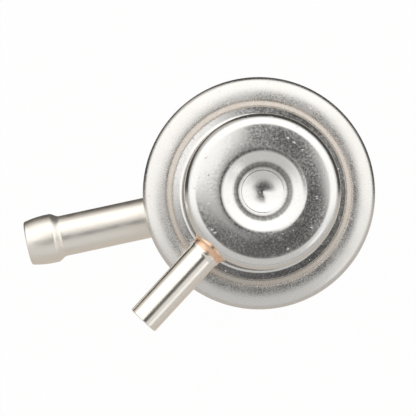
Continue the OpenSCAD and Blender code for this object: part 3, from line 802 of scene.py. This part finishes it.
class REGULATOR_OT_fuel_tubes(RegulatorOperator):
    """Builds the beaded inlet and return tubes"""

    bl_idname = "regulator.fuel_tubes"
    bl_label = "Fuel tubes"

    def execute(self, context):
        scene = context.scene
        tubes, nickel = scene.regulator_tubes, scene.regulator_finish.nickel
        inlet_back = scene.regulator_cup.wall_r - tubes.fuel_in
        runs = (("inlet", INLET_AXIS, INLET_Z, inlet_back, -LOW["inlet_tube"][0]),
                ("return", mount_axis("return_bore"), 0, -SEAT_END, -LOW["return_tube"][2]))
        for way, axis, z, back, mouth in runs:
            outline = fuel_tube_outline(tubes, mount_radius(way + "_port"), back, mouth)
            plate = nickel_plate("drawn_tube_bright_nickel_" + way, nickel, axis, roughness=0.36)
            add_piece(way + "_pipe", *revolve(outline, (0, 0, z), axis), plate, way + "_tube", "tube_steel")
        return {"FINISHED"}


class REGULATOR_OT_vacuum_tube(RegulatorOperator):
    """Builds the plain vacuum tube with its swelled root"""

    bl_idname = "regulator.vacuum_tube"
    bl_label = "Vacuum tube"

    def execute(self, context):
        scene = context.scene
        tubes, finish, wall_r = scene.regulator_tubes, scene.regulator_finish, scene.regulator_cap.wall_r
        along, aside = np.abs(VACUUM_AXIS[:2])
        end = (-LOW["vacuum_tube"][0] - VACUUM_R * aside + tubes.cut_edge * aside) / along
        flush_start, flush_end = 0.5 * MM, 1.6 * MM  # how far past the cap's wall the copper thins out
        flush = (finish.copper, wall_r + flush_start, wall_r + flush_end)
        plate = nickel_plate("drawn_tube_bright_nickel_vacuum", finish.nickel, VACUUM_AXIS, roughness=0.2,
                             flush=flush)
        surface = revolve(vacuum_tube_outline(tubes, wall_r, end), (0, 0, VACUUM_Z), VACUUM_AXIS)
        add_piece("vacuum_pipe", *surface, plate, "vacuum_tube", "tube_steel")
        return {"FINISHED"}


class REGULATOR_OT_brazes(RegulatorOperator):
    """Builds the three copper brazed joints"""

    bl_idname = "regulator.brazes"
    bl_label = "Brazed joints"

    def execute(self, context):
        scene = context.scene
        cap, cup, tubes = scene.regulator_cap, scene.regulator_cup, scene.regulator_tubes
        copper = copper_braze("furnace_run_copper", scene.regulator_finish.copper)
        side, shoulder_z = shoulder_middle(cap)

        def height(t, r, axis):
            """Height over a tube's axis and distance beside it, at angle t and radius r."""
            u, v = basis(axis)
            return r * (np.cos(t) * u[2] + np.sin(t) * v[2]), r * (np.cos(t) * v[2] - np.sin(t) * u[2])

        def cap_skin(t, r):
            """Distance along the vacuum tube to the cap's wall or shoulder."""
            up, across = height(t, r, VACUUM_AXIS)
            over = np.clip(VACUUM_Z + up - shoulder_z, 0, cap.shoulder_r)
            skin_r = side + np.sqrt(cap.shoulder_r ** 2 - over ** 2)
            return np.sqrt(skin_r ** 2 - across ** 2)

        def cup_skin(t, r):
            """Distance along the inlet tube to the cup's wall."""
            return np.sqrt(cup.wall_r ** 2 - height(t, r, INLET_AXIS)[1] ** 2)

        drop = cap.wall_r - math.sqrt(cap.wall_r ** 2 - tubes.root_r ** 2)
        reach, foot = tubes.vacuum_braze_l + drop, tubes.vacuum_braze_w
        collars = (
            ("vacuum", tubes.root_r, cap.wall_r + tubes.vacuum_braze_l, (reach ** 2 + foot ** 2) / (2 * foot),
             foot, cap_skin, VACUUM_Z, VACUUM_AXIS),
            ("inlet", tubes.fuel_r, cup.wall_r + tubes.inlet_braze_l, tubes.inlet_braze_r,
             tubes.inlet_braze_w, cup_skin, INLET_Z, INLET_AXIS))
        for way, tube_r, tip, hollow, width, skin, z, axis in collars:
            surface = braze_collar(tube_r, tip, hollow, width, skin, (0, 0, z), axis)
            add_piece(way + "_braze", *surface, copper, way + "_tube_braze", "copper_braze")
        outline = return_braze_outline(tubes, cup, tubes.fuel_r + tubes.braze_gap)
        add_piece("return_braze", *revolve(outline), copper, "return_tube_braze", "copper_braze")
        return {"FINISHED"}


class REGULATOR_OT_flexing(RegulatorOperator):
    """Builds the main spring and the diaphragm, which give way as the valve lifts"""

    bl_idname = "regulator.flexing"
    bl_label = "Spring and diaphragm"

    def execute(self, context):
        stack, finish = context.scene.regulator_stack, context.scene.regulator_finish
        low, high = LOW["main_spring"][2], HIGH["main_spring"][2]
        coil = coil_surface(stack, HIGH["main_spring"][0] - stack.wire_d / 2, low, high)
        phosphate = grained_metal("coiled_wire_phosphated", finish.phosphate, grain_mm=0.12, roughness=0.5)
        spring = add_piece("main_coil", *coil, phosphate, "main_spring", "spring_steel")
        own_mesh(spring)

        disc_surface = revolve(diaphragm_outline(stack, stack.stud_hole_r, HIGH["diaphragm"][0]))
        rubber = cloth_rubber("moulded_rubber_on_cloth", finish.rubber)
        disc = add_piece("diaphragm_disc", *disc_surface, rubber, "diaphragm", "diaphragm_rubber", body=None)
        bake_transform(disc)
        points = np.empty(len(disc.data.vertices) * 3, np.float32)
        disc.data.vertices.foreach_get("co", points)
        return {"FINISHED"}


class REGULATOR_OT_inner(RegulatorOperator):
    """Gives the inner pieces their turned, pressed and coiled finishes"""

    bl_idname = "regulator.inner"
    bl_label = "Inner finishes"

    def execute(self, context):
        finish = context.scene.regulator_finish
        lapped = turned_metal("turned_steel_lapped", finish.steel, radian_mm=0.08, roughness=0.22)
        brass = turned_metal("turned_brass_bar", finish.brass, radian_mm=0.12, roughness=0.25)
        pressed = grained_metal("pressed_steel_sheet", finish.steel, grain_mm=0.25, roughness=0.35)
        wound = grained_metal("fine_wire_phosphated", finish.phosphate, grain_mm=0.08, roughness=0.45)
        finishes = {
            lapped: ("valve_seat", "valve_plate", "valve_ball"),
            brass: ("valve_holder",),
            pressed: ("upper_spring_seat", "lower_spring_seat", "diaphragm_lower_plate", "rivet_washer",
                      "ball_retainer"),
            wound: ("ball_spring",),
        }
        for material, nodes in finishes.items():
            for name in nodes:
                mesh = frame["nodes"][name].data
                mesh.materials.clear()
                mesh.materials.append(material)
        return {"FINISHED"}


class REGULATOR_OT_stage(RegulatorOperator):
    """Sets up the floor, the light tent and the camera of the photographed view"""

    bl_idname = "regulator.stage"
    bl_label = "Stage"

    def execute(self, context):
        stage = context.scene.regulator_stage
        context.scene.view_settings.view_transform = "Standard"
        place_camera(context.scene, stage)
        light_tent(context.scene, stage)
        lay_floor(stage)
        return {"FINISHED"}


def place_camera(scene, stage):
    """The part is turned by its roll and two tilts, then moved across the picture; the camera undoes both."""
    turn = (Matrix.Rotation(stage.tilt_y, 3, "Y") @ Matrix.Rotation(stage.tilt_x, 3, "X")
            @ Matrix.Rotation(stage.roll, 3, "Z")).transposed()
    lens = bpy.data.cameras.new("photo_camera")
    lens.lens, lens.sensor_width, lens.clip_start = stage.lens, 36, 10 * MM
    camera = bpy.data.objects.new("photo_camera", lens)
    spot = Vector((0, 0, stage.aim_z)) - turn @ Vector((stage.shift_x, stage.shift_y, -stage.distance))
    camera.matrix_world = Matrix.Translation(spot) @ turn.to_4x4()
    scene.collection.objects.link(camera)
    scene.camera = camera


def light_tent(scene, stage):
    """A white tent, brightest at the back and dimmest in front, with a lamp on the near right and a dark
    opening overhead, which a softbox's straight edge cuts short on the left and a small pane on the right.
    Directions are turned into the picture: x to the right, y up, z to the camera."""
    front_end, back_start, hem_height = (-0.6, 0.0), (0.2, 0.7), (-0.1, 0.25)  # parts of a unit direction
    lamp_at, pane_at, softbox_at = (322, 58), (15, 28), (190, 90)  # degrees of azimuth, and from overhead
    lamp_edge, pane_edge, opening_edge = (13, 6), (15, 7), (34, 14)  # degrees of the outer and inner angle
    softbox_edge, softbox_foot = np.sin(np.radians((-1.6, 0.1))), np.sin(np.radians((-4.5, 3.5)))
    world = bpy.data.worlds.new("light_tent")
    world.use_nodes = True
    scene.world = world
    add = partial(add_node, world.node_tree)
    ray = add("TexCoord").outputs["Generated"]
    way = add("VectorRotate", {"Vector": ray, "Angle": stage.roll}, **TURN_Z)
    parts = add("SeparateXYZ", (way,))
    up, high = parts.outputs["Y"], parts.outputs["Z"]

    def nearness(azimuth, fall):
        """Cosine of the angle to a direction."""
        a, b = math.radians(azimuth), math.radians(fall)
        toward = (math.cos(a) * math.sin(b), math.sin(a) * math.sin(b), math.cos(b))
        return add("VectorMath", (way, toward), operation="DOT_PRODUCT")

    def round_patch(cosine, edge, level):
        """A round patch that sets in at the edge's outer angle and is full at its inner one."""
        return add("MapRange", (cosine, *np.cos(np.radians(edge)), 0.0, level), **SMOOTH)

    side = add("MapRange", (up, *front_end, stage.tent_front, stage.tent), **SMOOTH)
    back = add("MapRange", (up, *back_start, 0.0, stage.tent_back - stage.tent), **SMOOTH)
    walls = add("Math", (side, back), operation="ADD")
    hem = add("MapRange", (high, *hem_height, stage.tent_hem, 1.0), **SMOOTH)
    cloth = add("Math", (walls, hem), operation="MULTIPLY")
    lamp = round_patch(nearness(*lamp_at), lamp_edge, stage.lamp)
    lit = add("Math", (cloth, lamp), operation="ADD")
    opening = round_patch(high, opening_edge, 1.0)
    edge = add("MapRange", (nearness(*softbox_at), *softbox_edge), **SMOOTH)
    foot = add("MapRange", (up, *softbox_foot, stage.softbox_low, 1.0), **SMOOTH)
    softbox = add("Math", (edge, foot), operation="MULTIPLY")
    pane = round_patch(nearness(*pane_at), pane_edge, stage.pane)
    screens = add("Math", (softbox, pane), operation="MAXIMUM")
    open_share = add("Math", (1.0, screens), operation="SUBTRACT")
    dark = add("Math", (opening, open_share), operation="MULTIPLY")
    level = add("Mix", {"Factor": dark, "A": lit, "B": stage.opening})
    seen = add("LightPath").outputs["Is Camera Ray"]
    strength = add("Mix", {"Factor": seen, "A": level, "B": 1.0})
    tone = add("Mix", {"Factor": seen, "A": opaque(stage.tent_tone), "B": WHITE}, **RGBA)
    wire(world.node_tree.nodes["Background"], {"Color": tone, "Strength": strength})


def level_disc(name, radius, z, finish):
    """A level disc round the axis, as a grid of angle by radius with a closed middle. With it come the way to
    add nodes to its material, which has no shader yet, and the material's output."""
    rows, columns = 12, 96
    t = np.arange(columns) * 2 * np.pi / columns
    radii = np.geomspace(MM, radius, rows)[::-1, None]
    grid = np.stack((radii * np.cos(t), radii * np.sin(t), np.full((rows, columns), z)), -1).reshape(-1, 3)
    middle = list(range((rows - 1) * columns, rows * columns))
    mesh = bpy.data.meshes.new(name)
    mesh.from_pydata(grid.tolist(), [], grid_faces(rows, columns, False).tolist() + [middle])
    disc = bpy.data.objects.new(name, mesh)
    bpy.context.scene.collection.objects.link(disc)
    material = bpy.data.materials.new(finish)
    material.use_nodes = True
    mesh.materials.append(material)
    tree = material.node_tree
    tree.nodes.remove(tree.nodes["Principled BSDF"])
    return disc, partial(add_node, tree), tree.nodes["Material Output"]


def lay_floor(stage):
    """A white sheet under the part, and on it a grey card that only the metal sees: it gives the edges their
    line. It is dark behind the part, but left of the tubes only close behind them, and fades far out."""
    sheet_r, card_r = 3000 * MM, 750 * MM
    drop, card_lift = 0.5 * MM, 0.2 * MM
    paper, shown_share = (0.9, 0.9, 0.9, 1), 0.95  # the share in which the sheet shows as plain white
    dark_from, dark_to = (-8 * MM, 8 * MM), (50 * MM, 100 * MM)  # up the picture
    left_end, fade_out = (-60 * MM, -40 * MM), (300 * MM, 700 * MM)  # across the picture, and from the axis
    level = CAD_BOX[0].z - drop
    _, add, output = level_disc("white_sheet", sheet_r, level, "matt_white_paper")
    matt = add("BsdfDiffuse", {"Color": paper})
    white = add("Emission", {"Color": WHITE, "Strength": 1.0})
    path = add("LightPath").outputs
    seen = add("Math", (path["Is Camera Ray"], path["Is Glossy Ray"]), operation="MAXIMUM")
    shown = add("Math", (seen, path["Is Transmission Ray"]), operation="MAXIMUM")
    share = add("Math", (shown, shown_share), operation="MULTIPLY")
    wire(output, {"Surface": add("MixShader", (share, matt, white))})

    card, add, output = level_disc("grey_card", card_r, level + card_lift, "warm_grey_card")
    place = add("TexCoord").outputs["Object"]
    turned = add("VectorRotate", {"Vector": place, "Angle": stage.roll}, **TURN_Z)
    parts = add("SeparateXYZ", (turned,)).outputs
    reach = add("VectorMath", (place,), operation="LENGTH")
    behind = add("MapRange", (parts["Y"], *dark_from), **SMOOTH)
    close = add("MapRange", (parts["Y"], *dark_to, 1.0, 0.0), **SMOOTH)
    right = add("MapRange", (parts["X"], *left_end), **SMOOTH)
    covered = add("Math", (close, right), operation="MAXIMUM")
    dark = add("Math", (behind, covered), operation="MULTIPLY")
    shade = add("Mix", {"Factor": dark, "A": stage.table_front, "B": stage.table_back})
    fade = add("MapRange", (reach, *fade_out), **SMOOTH)
    strength = add("Mix", {"Factor": fade, "A": shade, "B": stage.table_far})
    tone = add("Mix", {"Factor": fade, "A": opaque(stage.table_tone), "B": WHITE}, **RGBA)
    wire(output, {"Surface": add("Emission", {"Color": tone, "Strength": strength})})
    card.visible_camera = card.visible_diffuse = card.visible_shadow = False


class REGULATOR_PT_panel(bpy.types.Panel):
    """Lists the regulator's operators and sizes"""

    bl_label = "Fuel pressure regulator"
    bl_idname = "REGULATOR_PT_panel"
    bl_space_type = "VIEW_3D"
    bl_region_type = "UI"
    bl_category = "Regulator"

    def draw(self, context):
        for operator in OPERATORS:
            self.layout.operator(operator.bl_idname)
        for name in GROUPS:
            group = getattr(context.scene, name)
            box = self.layout.box()
            for key in group.__annotations__:
                box.prop(group, key)


GROUPS = {
    "regulator_cap": RegulatorCap,
    "regulator_cup": RegulatorCup,
    "regulator_tubes": RegulatorTubes,
    "regulator_stack": RegulatorStack,
    "regulator_finish": RegulatorFinish,
    "regulator_stage": RegulatorStage,
}
OPERATORS = (REGULATOR_OT_stage, REGULATOR_OT_cap, REGULATOR_OT_cup, REGULATOR_OT_fuel_tubes,
             REGULATOR_OT_vacuum_tube, REGULATOR_OT_brazes, REGULATOR_OT_flexing, REGULATOR_OT_inner)


def register():
    """Registers the classes and hangs the sizes on the scene."""
    for kind in (*GROUPS.values(), *OPERATORS, REGULATOR_PT_panel):
        bpy.utils.register_class(kind)
    for name, group in GROUPS.items():
        setattr(bpy.types.Scene, name, bpy.props.PointerProperty(type=group))


def unregister():
    """Takes the sizes and classes away again."""
    for name in GROUPS:
        delattr(bpy.types.Scene, name)
    for kind in (REGULATOR_PT_panel, *reversed(OPERATORS), *GROUPS.values()):
        bpy.utils.unregister_class(kind)


def main():
    """Registers the add-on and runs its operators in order."""
    register()
    for operator in OPERATORS:
        group, name = operator.bl_idname.split(".")
        getattr(getattr(bpy.ops, group), name)()


if __name__ == "__main__":
    main()
